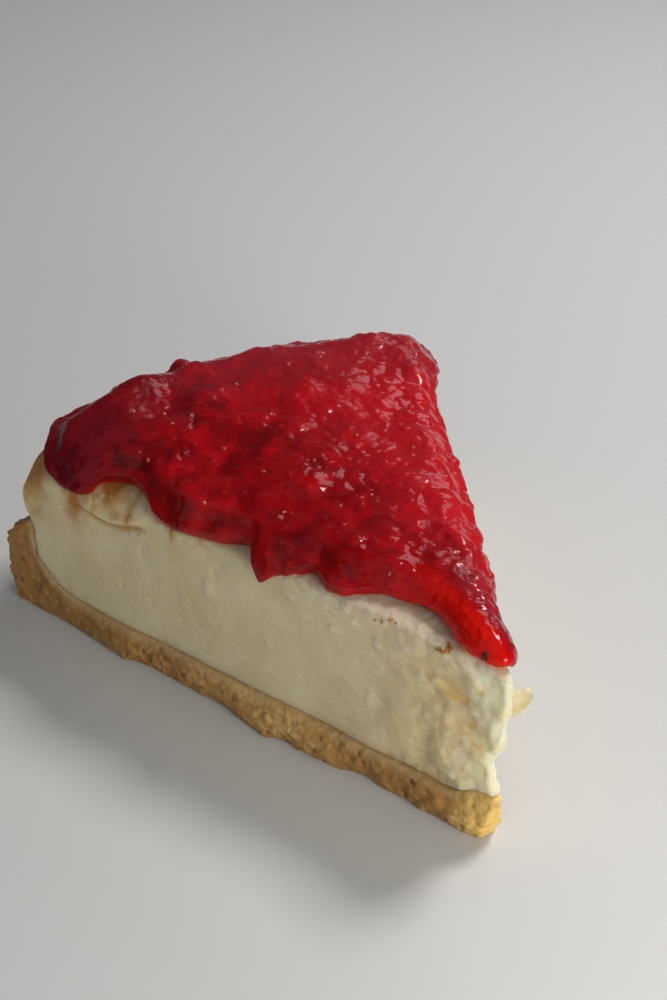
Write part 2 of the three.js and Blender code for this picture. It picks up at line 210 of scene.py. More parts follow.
def fine_copy(node, name, voxel, smoothing, sharp_angle):
    """An evenly fine copy of a solid: subdivided with its sharp edges kept, remeshed and smoothed."""
    work = bmesh.new()
    work.from_mesh(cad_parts[node].data)
    bmesh.ops.remove_doubles(work, verts=work.verts, dist=WELD * MM)
    crease = work.edges.layers.float.new("crease_edge")
    for edge in work.edges:
        if edge.calc_face_angle(0) > sharp_angle:
            edge[crease] = CREASE
    mesh = bpy.data.meshes.new(name)
    work.to_mesh(mesh)
    work.free()
    piece = linked(name, mesh)
    rounding = piece.modifiers.new("rounding", "SUBSURF")
    rounding.levels = 2
    remesh = piece.modifiers.new("remesh", "REMESH")
    remesh.mode = "VOXEL"
    remesh.voxel_size = voxel * MM
    smooth = piece.modifiers.new("smooth", "SMOOTH")
    smooth.iterations = smoothing
    graph = bpy.context.evaluated_depsgraph_get()
    fine = bpy.data.meshes.new_from_object(piece.evaluated_get(graph))
    piece.modifiers.clear()
    piece.data = fine
    fine.name = name
    return piece


def evened(mesh, values, rounds):
    """Averages the values of each vertex with its neighbours' a few times."""
    ends = np.empty(len(mesh.edges) * 2, np.int32)
    mesh.edges.foreach_get("vertices", ends)
    first, second = ends.reshape(-1, 2).T
    size = len(values)
    neighbours = np.bincount(first, minlength=size) + np.bincount(second, minlength=size)
    values = values.reshape(size, -1)
    for _ in range(rounds):
        sums = [
            np.bincount(first, column[second], size) + np.bincount(second, column[first], size)
            for column in values.T
        ]
        values = (values + np.stack(sums, -1) / neighbours[:, None]) / 2
    return values


def tree_of(mesh):
    """A search tree of a mesh's faces, in metres."""
    points = [vertex.co for vertex in mesh.vertices]
    return BVHTree.FromPolygons(points, [polygon.vertices for polygon in mesh.polygons])


def way_to(points, tree, reach):
    """The way from each point to the nearest face of another piece, and its length, at most reach."""
    ways = np.zeros_like(points)
    lengths = np.full(len(points), float(reach))
    for index, point in enumerate(points * MM):
        found, _, _, distance = tree.find_nearest(Vector(point), reach * MM)
        if found is not None:
            ways[index] = np.array(found) / MM - points[index]
            lengths[index] = distance / MM
    return ways, lengths


def laid_on(mesh, points, normals, tree, reach, sink, turned):
    """Lays the faces that are turned towards another piece onto it, sunk in a little. Turned gives
    the cosines at which a face starts to count as turned towards it and counts fully."""
    ways, lengths = way_to(points, tree, reach)
    directions = ways / np.maximum(lengths, SHORTEST_WAY)[:, None]
    facing = ramp((directions * normals).sum(1), *turned) * fade(lengths, LAID_SHARE * reach, reach)
    moves = (ways + directions * sink) * facing[:, None]
    return points + evened(mesh, moves, LAID_ROUNDS), facing


def slice_places(points):
    """Radius from the tip, share from -1 at the left cut to 1 at the right one, how far inside the
    left cut each point is, and how far along that cut."""
    from_tip = points[:, :2] - np.array(TIP)
    radius = np.linalg.norm(from_tip, axis=1)
    share = np.arctan2(from_tip[:, 0], from_tip[:, 1]) / HALF_ANGLE
    return radius, share, -from_tip @ LEFT_OUTWARD[:2], from_tip @ LEFT_ALONG[:2]


def cut_mask(normals, outward):
    """1 on the cut whose direction outward is given, and 0 elsewhere."""
    return ramp(normals @ outward, 0.6, 0.9)


# Materials
def new_material(name):
    material = bpy.data.materials.new(name)
    material.use_nodes = True
    tree = material.node_tree
    return material, tree, tree.nodes["Principled BSDF"]


def put(tree, target, value):
    """Links a socket to its target, or sets a plain value on the target itself."""
    if isinstance(value, bpy.types.NodeSocket):
        tree.links.new(value, target)
    else:
        target.default_value = value


def add(tree, kind, settings=None, **inputs):
    """Adds a node. A setting is one of its properties and an input is a value or another socket,
    named by its label or as i and its number."""
    made = tree.nodes.new(kind)
    for key, value in (settings or {}).items():
        setattr(made, key, value)
    for key, value in inputs.items():
        target = made.inputs[int(key[1:])] if key[1:].isdigit() else made.inputs[key]
        put(tree, target, value)
    return made


def fill_shader(tree, shader, **inputs):
    for key, value in inputs.items():
        put(tree, shader.inputs[key.replace("_", " ")], value)


def millimetres(tree, stretch=(1, 1, 1), turn=0):
    """The surface's own place in millimetres, turned about Z and then divided by stretch."""
    place = add(tree, "ShaderNodeTexCoord").outputs["Object"]
    turned = add(tree, "ShaderNodeVectorRotate", {"rotation_type": "Z_AXIS"}, Vector=place, Angle=turn)
    scale = [1 / MM / part for part in stretch]
    return add(tree, "ShaderNodeMapping", Vector=turned.outputs[0], Scale=scale).outputs[0]


def noise(tree, place, size, detail=3, roughness=0.55, distortion=0):
    looks = {"Detail": detail, "Roughness": roughness, "Distortion": distortion}
    return add(tree, "ShaderNodeTexNoise", Vector=place, Scale=1 / size, **looks).outputs["Fac"]


def cells(tree, place, size):
    """A node of scattered cells, with their distances and colours."""
    return add(tree, "ShaderNodeTexVoronoi", Vector=place, Scale=1 / size)


def spread(tree, value, start, end, low=0.0, high=1.0):
    """Maps a value from start..end to low..high and clamps it."""
    return add(tree, "ShaderNodeMapRange", i0=value, i1=start, i2=end, i3=low, i4=high).outputs[0]


def opaque(colour):
    """A plain colour with its alpha, or the socket that was given."""
    return colour if isinstance(colour, bpy.types.NodeSocket) else (*colour, 1)


def mixed(tree, factor, first, second):
    sockets = {"i0": factor, "i6": opaque(first), "i7": opaque(second)}
    return add(tree, "ShaderNodeMix", {"data_type": "RGBA"}, **sockets).outputs[2]


def worked_out(tree, operation, first, second):
    return add(tree, "ShaderNodeMath", {"operation": operation}, i0=first, i1=second).outputs[0]


def product_of(tree, first, second):
    return worked_out(tree, "MULTIPLY", first, second)


def stored(tree, name):
    return add(tree, "ShaderNodeAttribute", {"attribute_name": name}).outputs["Fac"]


def tinted(tree, colour, name, strength, tint):
    """Lays a tint over a colour where the mesh has stored numbers by that name."""
    return mixed(tree, product_of(tree, stored(tree, name), strength), colour, tint)


def bump(tree, height, depth, before=None):
    """Relief of a height from 0 to 1, with its depth in millimetres."""
    inputs = {"Height": height, "Distance": depth * MM, "Strength": 1.0}
    if before is not None:
        inputs["Normal"] = before
    return add(tree, "ShaderNodeBump", **inputs).outputs[0]


def plain_material(name, colours, patch, edges, grain, depth, detail=1, **looks):
    """Two colours in soft patches, with a fine grain. Edges are where the patches start and end."""
    material, tree, shader = new_material(name)
    place = millimetres(tree)
    tone = spread(tree, noise(tree, place, patch, detail), *edges)
    relief = bump(tree, noise(tree, place, grain, detail), depth)
    fill_shader(tree, shader, Base_Color=mixed(tree, tone, *colours), Normal=relief, **looks)
    return material


# Strawberry topping
JELLY_VOXEL = 0.42
JELLY_SMOOTHING = 3
JELLY_REACH = 2.4
JELLY_SINK = 0.2
JELLY_TURNED = (-0.05, 0.5)
NOSE_ROUNDS = 90
NOSE_HEIGHT = 0.85
HANGING_FREE = 0.4  # the topping may stand this far out of the cut before it is drawn in
HANGING_DRAWN_IN = 0.25
DEPTH_REACH = 9  # the topping over filling farther away than this counts as deep

# A lump of fruit at the back rim
KNOB_RADIUS = 118
KNOB_SHARE = -0.13
KNOB_SIZE = 5
KNOB_HEIGHT = 2.4

# Heights of the topping's relief
LUMP_HEIGHT = 0.42
SMALL_LUMP_HEIGHT = 0.14
SMALL_LUMP_CHANGE = 0.16
DIMPLE_HEIGHT = 0.14
RIDGE_HEIGHT = 0.24
TORN_HEIGHT = 0.8
TOPPING_LOWERED = 0.3

WRINKLE_TURN = math.atan2(-VIEW_RIGHT.y, VIEW_RIGHT.x)
ROUNDED_STRETCH = (1, 1.7, 1.2)
THREAD_STRETCH = (4.5, 1.5, 2.5)
WIDE_STRETCH = (2.4, 1, 1.2)

DEEP_RED = (0.15, 0.0006, 0.003)
RED = (0.31, 0.0012, 0.005)
FLESH = (0.52, 0.004, 0.007)
FRUIT = (0.46, 0.006, 0.010)
PULP = (0.62, 0.06, 0.08)
BITS = (0.62, 0.03, 0.03)
BRIGHT_RED = (0.62, 0.012, 0.020)
HAZY_RED = (0.34, 0.018, 0.034)
DARK_RED = (0.165, 0.0009, 0.007)
GLOWING_RED = (0.78, 0.006, 0.0008)
THIN_RED = (0.60, 0.010, 0.003)


def wrinkle_places(points):
    """Places along and across the run of the topping's fine wrinkles."""
    along = points[:, :2] @ np.array(VIEW_RIGHT[:2])
    across = points[:, :2] @ np.array(VIEW_LEVEL[:2])
    return np.stack([along, across, points[:, 2]], -1)


def topping_relief(points, radius, share, inside_left):
    """Height of fruit lumps, dimples and wrinkles over the smooth topping, with the masks of its
    wrinkled film and of its fruit."""
    warp = np.stack([bumps(points, 6, seed) for seed in (101, 102, 103)], -1) * 1.8
    away, owner = grains(points + warp, (6, 6, 8), 110)
    lumps = fade(away, 0.1, 0.85) * (LUMP_HEIGHT + LUMP_HEIGHT * owner)
    small_away, small_owner = grains(points + warp * 0.6, 2.3, 120)
    small_lumps = fade(small_away, 0.1, 0.75) * (SMALL_LUMP_HEIGHT + SMALL_LUMP_CHANGE * small_owner)
    dimples = DIMPLE_HEIGHT * layered(points, 2.2, 125, 2)
    wrinkles = bumps(wrinkle_places(points + warp * 1.1), (6.5, 1.7, 4), 130)
    ridges = fade(np.abs(wrinkles), 0, 0.2) * ramp(bumps(points, 4.5, 135), -0.1, 0.3)
    film = ramp(layered(points, 15, 140, 2), -0.35, 0.25) * ramp(inside_left, 5, 17)
    film *= ramp(share, -0.35, 0.3)
    off_edge = np.maximum(ramp(inside_left, 2, 12), ramp(radius, 82, 94))
    relief = (lumps + small_lumps + dimples) * (0.3 + 0.7 * off_edge * ramp(radius, 6, 30))
    relief += RIDGE_HEIGHT * ridges * film * ramp(radius, 4, 25)
    right_of_tip = ramp(points[:, 0], 0.5, 3) * fade(radius, 30, 45)
    relief += TORN_HEIGHT * layered(points, 2.4, 150, 2) * right_of_tip
    return relief - TOPPING_LOWERED, film, fade(away, 0.2, 0.7) * (owner * 0.5 + 0.5)


def make_topping(filling_tree):
    piece = fine_copy("strawberry_topping", "strawberry_jelly", JELLY_VOXEL, JELLY_SMOOTHING, ALL_ROUND)
    mesh = piece.data
    points, normals = read(mesh)
    resting = (filling_tree, JELLY_REACH, JELLY_SINK, JELLY_TURNED)
    points, facing = laid_on(mesh, points, normals, *resting)
    radius, share, inside_left, _ = slice_places(points)
    nose = fade(radius, 16, 40)
    rounded = evened(mesh, points, NOSE_ROUNDS)
    points += (rounded - points) * nose[:, None]
    hanging = np.maximum(-inside_left - HANGING_FREE, 0)
    points -= HANGING_DRAWN_IN * hanging[:, None] * LEFT_OUTWARD
    to_knob = np.hypot(radius - KNOB_RADIUS, (share - KNOB_SHARE) * radius * HALF_ANGLE)
    points[:, 2] += KNOB_HEIGHT * fade(to_knob, 0, KNOB_SIZE) * ramp(normals[:, 2], -0.2, 0.4)
    relief, film, fruit = topping_relief(points, radius, share, inside_left)
    relief += NOSE_HEIGHT * nose
    points += normals * (relief * (1 - facing))[:, None]
    write(mesh, points)
    at_back = ramp(radius, 85, 112)
    right_of_tip = ramp(points[:, 0], 0.8, 2.6) * fade(radius, 14, 30)
    store(
        mesh,
        depth=way_to(points, filling_tree, DEPTH_REACH)[1] / DEPTH_REACH,
        film=film,
        fruit=fruit,
        dark=ramp(radius, 84, 104) * fade(share, -0.8, -0.15),
        # painted glow: the topping's nose is coloured orange-red as if light came through it
        glow=fade(radius, 12, 36) * fade(points[:, 0], -1.5, 3),
        bright=ramp(share, -0.3, 0.9) * ramp(radius, 8, 40) * (1 - 0.6 * at_back),
        # at the back a painted pinkish sheen; right of the tip the topping's own maroon-pink
        haze=np.maximum(at_back * ramp(share, -0.6, 0.1), right_of_tip),
    )
    finish_mesh(piece, jelly_material())
    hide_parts("strawberry_topping")
    return piece


def jelly_material():
    material, tree, shader = new_material("strawberry_jelly")
    place = millimetres(tree)
    rounded = millimetres(tree, ROUNDED_STRETCH, WRINKLE_TURN)
    film = stored(tree, "film")
    threads = noise(tree, millimetres(tree, THREAD_STRETCH, WRINKLE_TURN), 1, 2, 0.5, 0.7)

    deep = spread(tree, noise(tree, rounded, 9, 2, 0.45, 0.1), 0.36, 0.64)
    colour = mixed(tree, deep, DEEP_RED, RED)
    flesh = spread(tree, noise(tree, rounded, 5, 2, 0.45, 0.1), 0.46, 0.7, 0, 0.75)
    colour = mixed(tree, flesh, colour, FLESH)
    colour = tinted(tree, colour, "fruit", 0.5, FRUIT)
    pulp = product_of(tree, spread(tree, threads, 0.6, 0.76, 0, 0.15), film)
    colour = mixed(tree, pulp, colour, PULP)
    bits = spread(tree, noise(tree, place, 1.6, 2, 0.5), 0.64, 0.74, 0, 0.4)
    colour = mixed(tree, bits, colour, BITS)
    colour = tinted(tree, colour, "bright", 0.75, BRIGHT_RED)
    # painted pinkish sheen at the back, and the own maroon-pink right of the tip
    colour = tinted(tree, colour, "haze", 0.65, HAZY_RED)
    colour = tinted(tree, colour, "dark", 0.9, DARK_RED)
    # painted glow on the topping's nose
    colour = tinted(tree, colour, "glow", 0.9, GLOWING_RED)
    thin = spread(tree, stored(tree, "depth"), 0.16, 0.02, 0, 0.75)
    colour = mixed(tree, thin, colour, THIN_RED)

    relief = bump(tree, product_of(tree, threads, film), 0.14)
    wide = millimetres(tree, WIDE_STRETCH, WRINKLE_TURN)
    relief = bump(tree, product_of(tree, noise(tree, wide, 1.5, 1, 0.5), film), 0.16, relief)
    relief = bump(tree, noise(tree, rounded, 2.2, 1), 0.13, relief)
    relief = bump(tree, noise(tree, place, 0.9, 1), 0.05, relief)
    glints = product_of(tree, noise(tree, place, 1.4, 2), stored(tree, "glow"))
    relief = bump(tree, glints, 0.3, relief)
    dull = spread(tree, stored(tree, "dark"), 0, 1, 0, 0.25)
    wet = spread(tree, film, 0, 1, 0.09, 0.2)
    fill_shader(
        tree,
        shader,
        Base_Color=colour,
        Normal=relief,
        Roughness=worked_out(tree, "ADD", wet, dull),
        Subsurface_Weight=0.5,
        Subsurface_Radius=(1, 0.06, 0.04),
        Subsurface_Scale=4 * MM,
        Specular_IOR_Level=0.25,
    )
    return material


# Cheese filling
CHEESE_VOXEL = 0.6
CHEESE_SMOOTHING = 3
CHEESE_REACH = 1.3
CHEESE_SINK = 0.12
CHEESE_TURNED = (0.2, 0.6)
CHEESE_BLEED = (1, 0.8, 0.45)
CRUST_REACH = 3.2

# Heights of the filling's relief
CRUST_SWELL = 0.28
CRACK_DEPTH = 0.8
LIP_HEIGHT = 0.9
CHIP_HEIGHT = 0.45
RAGGED_HEIGHT = 0.5
SHOULDER_HEIGHT = 0.9
SKIN_HEIGHT = 0.25
CHEESE_LOWERED = 0.06

# Marks on the left cut: distance from the tip, height, half length, half height and strength
BROWN_MARKS = (
    (94.2, 40.8, 4.2, 3.4, 1.4),
    (91.5, 38.2, 1.2, 4.2, 0.5),
    (101.9, 34.8, 2.0, 4.6, 1.3),
    (104.5, 38.5, 1.4, 3.0, 0.8),
    (111.6, 41, 5.0, 2.8, 1.4),
    (87.2, 37.5, 1.0, 5.0, 0.8),
    (96.5, 37.0, 1.0, 4.0, 0.7),
    (76.1, 38.4, 1.0, 2.4, 1.1),
    (69, 38.2, 1.8, 0.8, 0.6),
    (14.5, 33.5, 1.5, 0.6, 0.5),
)
YELLOW_MARKS = (
    (116, 36, 3.0, 6.0, 1.0),
    (92, 38.5, 9.0, 4.5, 0.6),
    (88, 34.3, 3.5, 0.7, 0.8),
    (95, 32.4, 4.0, 0.7, 0.8),
    (9, 30.2, 2.6, 0.7, 1.6),
    (5, 27.5, 2.5, 0.6, 0.9),
    (76.1, 36.8, 1.2, 3.0, 0.9),
    (8.5, 31.9, 3.6, 0.8, 1.5),
    (4.5, 35.6, 2.4, 1.0, 0.7),
    (115, 32, 1.6, 2.2, 0.7),
    (111, 34, 1.4, 3.5, 0.4),
    (104, 38, 1.2, 2.5, 0.4),
    (84, 38, 1.4, 3.5, 0.4),
    (6, 24, 3.5, 2.5, 1.0),
    (4, 18, 3.0, 2.0, 0.25),
)
# Pale chips that stand out a little, in the same way
CHIPS = (
    (67.4, 28.3, 1.3, 2.0, 1.0),
    (60.5, 31.5, 0.9, 0.7, 0.7),
    (84.0, 34.0, 1.0, 0.8, 0.8),
    (47.0, 36.2, 1.2, 0.7, 0.8),
    (37.5, 33.0, 0.8, 1.2, 0.7),
    (33.0, 36.8, 1.4, 0.8, 1.0),
    (27.5, 34.5, 0.8, 1.3, 0.8),
    (21.0, 36.5, 1.6, 0.9, 1.0),
    (17.5, 31.5, 1.0, 2.2, 0.9),
    (12.5, 35.5, 1.8, 1.0, 1.0),
    (28.0, 20.5, 0.7, 2.4, 0.6),
    (52.0, 22.0, 0.9, 1.4, 0.5),
    (86.0, 40.2, 3.0, 1.8, 0.9),
    (97.3, 39.5, 1.0, 2.5, 0.9),
)
# The fissure's line on the left cut: distance from the tip and height
FISSURE = ((84, 35.4), (88, 34.2), (92, 32.6), (96, 32.8), (100, 33.6))
CRACK_HALF_HEIGHT = 0.55
LIP_ABOVE = 1.9
LIP_HALF_HEIGHT = 1.0

CREAM = (0.74, 0.62, 0.37)
PALE_CREAM = (0.84, 0.73, 0.49)
MOTTLED_CREAM = (0.70, 0.58, 0.34)
WHITE_FLECK = (0.92, 0.86, 0.68)
WARM_TIP = (0.74, 0.57, 0.28)
SUNLIT_TIP = (1.0, 0.915, 0.67)
DAMP_FOOT = (0.66, 0.46, 0.22)
JUICE_STAIN = (0.60, 0.47, 0.39)
CURD = (0.88, 0.76, 0.46)
PALE_CHIP = (0.80, 0.70, 0.58)
YELLOW_MARK = (0.80, 0.56, 0.13)
BAKED_SKIN = (0.56, 0.36, 0.11)
BROWN_MARK = (0.50, 0.19, 0.03)


def marks(along, height, spots):
    """How strongly each point of the left cut carries one of the marks."""
    whole = np.zeros(len(along))
    for middle, level, half_length, half_height, strength in spots:
        away = ((along - middle) / half_length) ** 2 + ((height - level) / half_height) ** 2
        whole = np.maximum(whole, strength * np.exp(-away))
    return whole


def cut_texture(points, near_tip):
    """Relief of the cut filling, and its lumps and curds alone, which are larger near the tip."""
    away, owner = grains(points, 2.8, 220)
    lumps = layered(points, 4.2, 230, 3) * (0.16 + 0.9 * near_tip)
    lumps += np.abs(layered(points, 2.4, 236, 2)) * near_tip * 0.7
    curds = fade(away, 0.1, 0.7) * near_tip * ramp(owner, 0, 0.6) * 0.4
    strokes = fade(np.abs(bumps(points, (2.2, 2.2, 9), 245)), 0, 0.05)
    scratches = strokes * ramp(bumps(points, 1.5, 235), 0.2, 0.6) * 0.25
    smears = bumps(points, (7, 7, 1.1), 240) * 0.1
    pitted = 0.2 + ramp(layered(points, 9, 210, 2), 0, 0.5)
    pits = 0.3 * fade(away, 0.17, 0.42) * ramp(owner, 0.35, 0.6) * pitted
    return lumps + smears - scratches - pits + curds, lumps + curds


def fissure(along, height, left):
    """The small crack under the browned patch of the left cut, and the lip above it."""
    line = np.interp(along, *zip(*FISSURE))
    beside = ramp(along, 82, 86) * fade(along, 98, 101) * left
    crack = np.exp(-(((height - line) / CRACK_HALF_HEIGHT) ** 2)) * beside
    lip = np.exp(-(((height - line - LIP_ABOVE) / LIP_HALF_HEIGHT) ** 2)) * beside
    return crack, lip


def flakes(points, radius, inside_left, along):
    """Chips of the left cut, and the ragged strip under the topping near the tip."""
    height = points[:, 2]
    chips = marks(along + 0.5 * bumps(points, 1.2, 246), height, CHIPS) * fade(inside_left, 3, 6)
    crumbly = ramp(height, 36.5, 39.5) * fade(radius, 42, 56) * fade(inside_left, 5, 9)
    return chips, np.abs(layered(points, 2.1, 247, 3)) * crumbly


def make_filling(biscuit_tree):
    piece = fine_copy("cheese_filling", "baked_cheese", CHEESE_VOXEL, CHEESE_SMOOTHING, SHARP_ANGLE)
    mesh = piece.data
    points, normals = read(mesh)
    resting = (biscuit_tree, CHEESE_REACH, CHEESE_SINK, CHEESE_TURNED)
    points, facing = laid_on(mesh, points, normals, *resting)
    radius, _, inside_left, along = slice_places(points)
    left = cut_mask(normals, LEFT_OUTWARD)
    on_cut = np.maximum(left, cut_mask(normals, RIGHT_OUTWARD))
    near_tip = fade(radius, 6, 30)
    to_crust = way_to(points, biscuit_tree, CRUST_REACH)[1]
    texture, lumps = cut_texture(points, near_tip)
    crack, lip = fissure(along, points[:, 2], left)
    chips, ragged = flakes(points, radius, inside_left, along)
    shoulder = ramp(radius, 106, 112) * ramp(points[:, 2], 34, 38) * fade(inside_left, 8, 14)
    relief = on_cut * (texture + CRUST_SWELL * fade(to_crust, 0.2, 2.2))
    relief += LIP_HEIGHT * lip - CRACK_DEPTH * crack + CHIP_HEIGHT * chips + RAGGED_HEIGHT * ragged
    relief += SHOULDER_HEIGHT * shoulder + (1 - on_cut) * SKIN_HEIGHT * layered(points, 6, 250, 2)
    points += normals * ((relief - CHEESE_LOWERED) * (1 - facing))[:, None]
    points = without_shaving(points, radius)
    write(mesh, points)

    height = points[:, 2]
    blurred = (along + 1.3 * bumps(points, 2.6, 248), height + 1.1 * bumps(points, 2.2, 249))
    by_left_cut = fade(inside_left, 4, 8)
    brown = np.maximum(marks(*blurred, BROWN_MARKS) * by_left_cut, 0.7 * crack)
    baked = ramp(radius, 108, 113) * ramp(height, 31, 36.5) * (1 - 0.5 * ramp(inside_left, 15, 40))
    before_tip = 0.45 + 0.55 * ramp(radius, 6, 12) * fade(radius, 30, 50)
    store(
        mesh,
        near_tip=near_tip,
        # painted light: the filling's thin tip made bright, as if light came through it
        at_tip=fade(radius, 5.5, 11),
        footing=fade(to_crust, 0.3, 3.0) * on_cut * before_tip,
        lump=np.clip(lumps, -1, 1) * 0.5 + 0.5,
        # painted shade of the topping: the strip of filling under it darkened and tinted pink
        stain=ramp(height, 38.5, 41.5) * fade(inside_left, 5, 9) * fade(radius, 80, 92),
        pale=np.clip(chips + 1.1 * ragged, 0, 1),
        brown=np.maximum(brown, 0.85 * baked),
        skin=ramp(radius, 106, 114) * ramp(height, 22, 30),
        yellow=marks(*blurred, YELLOW_MARKS) * by_left_cut,
    )
    finish_mesh(piece, cheese_material())
    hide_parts("cheese_filling")
    return piece


def cheese_material():
    material, tree, shader = new_material("baked_cheese")
    place = millimetres(tree)
    near_tip = stored(tree, "near_tip")
    speckle = noise(tree, place, 2.5, 3, 0.6)

    clouds = spread(tree, noise(tree, place, 12, 4, 0.6), 0.35, 0.7)
    colour = mixed(tree, clouds, CREAM, PALE_CREAM)
    mottle = spread(tree, noise(tree, place, 3, 4, 0.65), 0.45, 0.75, 0, 0.5)
    colour = mixed(tree, mottle, colour, MOTTLED_CREAM)
    flecks = spread(tree, noise(tree, place, 1.3, 2, 0.5), 0.62, 0.72, 0, 0.35)
    colour = mixed(tree, flecks, colour, WHITE_FLECK)
    colour = mixed(tree, product_of(tree, near_tip, 0.8), colour, WARM_TIP)
    # painted light on the filling's tip
    colour = tinted(tree, colour, "at_tip", 0.95, SUNLIT_TIP)
    colour = tinted(tree, colour, "footing", 0.8, DAMP_FOOT)
    patches = spread(tree, noise(tree, place, 4, 3, 0.6), 0.35, 0.65, 0.35, 0.85)
    # painted shade under the topping, tinted pink, in patches
    colour = tinted(tree, colour, "stain", patches, JUICE_STAIN)
    curd = product_of(tree, spread(tree, stored(tree, "lump"), 0.52, 0.85), near_tip)
    colour = mixed(tree, curd, colour, CURD)
    colour = tinted(tree, colour, "pale", 0.4, PALE_CHIP)
    colour = tinted(tree, colour, "yellow", spread(tree, speckle, 0.3, 0.6), YELLOW_MARK)
    colour = tinted(tree, colour, "skin", spread(tree, noise(tree, place, 5, 3), 0.3, 0.65), BAKED_SKIN)
    colour = tinted(tree, colour, "brown", spread(tree, speckle, 0.2, 0.45), BROWN_MARK)

    grain = noise(tree, millimetres(tree, (1.6, 1.6, 0.9)), 1, 4, 0.65)
    relief = bump(tree, grain, 0.17)
    dents = spread(tree, cells(tree, place, 2.2).outputs["Distance"], 0, 0.22)
    relief = bump(tree, dents, 0.12, relief)
    dull = spread(tree, grain, 0.3, 0.7, 0.46, 0.64)
    damp = product_of(tree, near_tip, 0.22)
    fill_shader(
        tree,
        shader,
        Base_Color=colour,
        Normal=relief,
        Roughness=worked_out(tree, "SUBTRACT", dull, damp),
        Subsurface_Weight=0.6,
        Subsurface_Radius=CHEESE_BLEED,
        Subsurface_Scale=6 * MM,
        IOR=1.4,
    )
    return material


# The thin shaving that stands out of the right cut at the tip
SHAVING_ROOT = 2.0  # distance from the tip, along the right cut
SHAVING_START = -1.2  # inside the cut
SHAVING_OUT = 5.75
# Its lower and upper edge: distance out of the cut and height
SHAVING_LOW = ((-1.2, 29.6), (0.4, 29.2), (1.8, 28.9), (3.4, 29.8), (4.6, 31.6), (5.4, 33.3), (5.75, 34.6))
SHAVING_HIGH = ((-1.2, 36.2), (0.9, 35.7), (2.4, 35.35), (3.4, 35.3), (4.4, 35.9), (5.2, 36.0), (5.75, 34.9))
SHAVING_HALF_THICKNESS = 0.55
SHAVING_TAPER = 0.94
SHAVING_TOP_CURL = 0.9
SHAVING_FOOT_CURL = 0.5
SHAVING_RELIEF = 0.12
SHAVING_STEPS = 30
SHAVING_SIDES = 28
SHAVING_COLOURS = ((0.70, 0.64, 0.47), (0.66, 0.54, 0.29))
CHEESE_OUT = 1.3  # the filling itself stands no farther out of the right cut at the tip than this
CHEESE_OUT_ROUNDED = 0.1


def without_shaving(points, radius):
    """Brings the thin shaving at the tip back to the cut, as a piece of its own stands for it."""
    past = (points - (*TIP, 0)) @ RIGHT_OUTWARD - CHEESE_OUT
    moves = fade(radius, 9, 12) * (past > 0) * (past - CHEESE_OUT_ROUNDED * np.tanh(past))
    return points - RIGHT_OUTWARD * moves[:, None]


def bands(first, rings, sides):
    """Faces between rings of points, one ring after another from the point numbered first."""
    faces = []
    for ring in range(rings):
        start = first + ring * sides
        for side in range(sides):
            near, far = start + side, start + (side + 1) % sides
            faces.append((near, near + sides, far + sides, far))
    return faces


def shaving_ring(share):
    """Points round the shaving at a share of its length."""
    along = Vector(RIGHT_ALONG)
    out = SHAVING_START + (SHAVING_OUT - SHAVING_START) * share
    middle = Vector((*TIP, 0)) + along * SHAVING_ROOT + Vector(RIGHT_OUTWARD) * out
    bottom = np.interp(out, *zip(*SHAVING_LOW))
    top = np.interp(out, *zip(*SHAVING_HIGH))
    thickness = SHAVING_HALF_THICKNESS * math.sqrt(1 - SHAVING_TAPER * share**2)
    points = []
    for side in range(SHAVING_SIDES):
        angle = math.tau * side / SHAVING_SIDES
        level = 0.5 + 0.5 * math.sin(angle)
        curl = SHAVING_TOP_CURL * share**2 * level**2 - SHAVING_FOOT_CURL * share * (1 - level) ** 2
        aside = thickness * math.cos(angle) + curl
        points.append(middle + along * aside + Vector((0, 0, bottom + (top - bottom) * level)))
    return points


def make_shaving():
    """A thin leaf of filling that stands out from the right cut at the tip."""
    points = []
    for step in range(SHAVING_STEPS + 1):
        points += shaving_ring(math.sin(math.pi / 2 * step / SHAVING_STEPS))
    last = SHAVING_STEPS * SHAVING_SIDES
    faces = bands(0, SHAVING_STEPS, SHAVING_SIDES)
    faces.append(tuple(range(SHAVING_SIDES)))
    faces.append(tuple(last + side for side in reversed(range(SHAVING_SIDES))))
    piece = new_piece("cheese_shaving", points, faces)
    smooth, normals = read(piece.data)
    write(piece.data, smooth + normals * SHAVING_RELIEF * bumps(smooth, 1.7, 260)[:, None])
    material = plain_material(
        "cheese_shaving",
        SHAVING_COLOURS,
        patch=2.5,
        edges=(0.4, 0.62),
        grain=1.2,
        depth=0.15,
        detail=2,
        Roughness=0.4,
        Subsurface_Weight=0.6,
        Subsurface_Radius=CHEESE_BLEED,
        Subsurface_Scale=2 * MM,
    )
    finish_mesh(piece, material)


# Biscuit base
BISCUIT_VOXEL = 0.48
BISCUIT_SMOOTHING = 2
FILLING_REACH = 4

# Heights of the biscuit's relief
CHUNK_HEIGHT = 0.3
CHUNK_CHANGE = 0.4
SWELL_HEIGHT = 0.35
CRUMB_HEIGHT = 0.18
CRUMB_CHANGE = 0.2
PIT_DEPTH = 0.8
BISCUIT_LOWERED = 0.2
DRAWN_IN = 0.3  # beside the filling, on the cuts

CRUMB = (0.54, 0.29, 0.075)
LIGHT_CRUMB = (0.74, 0.46, 0.15)
PALE_CELL = (0.90, 0.70, 0.34)
DARK_CELL = (0.40, 0.19, 0.045)
CLOUDED = (0.66, 0.38, 0.12)
PIT = (0.34, 0.17, 0.045)
TOASTED = (0.35, 0.165, 0.034)
PRESSED = (0.66, 0.49, 0.25)
GOLDEN = (1.0, 0.66, 0.19)


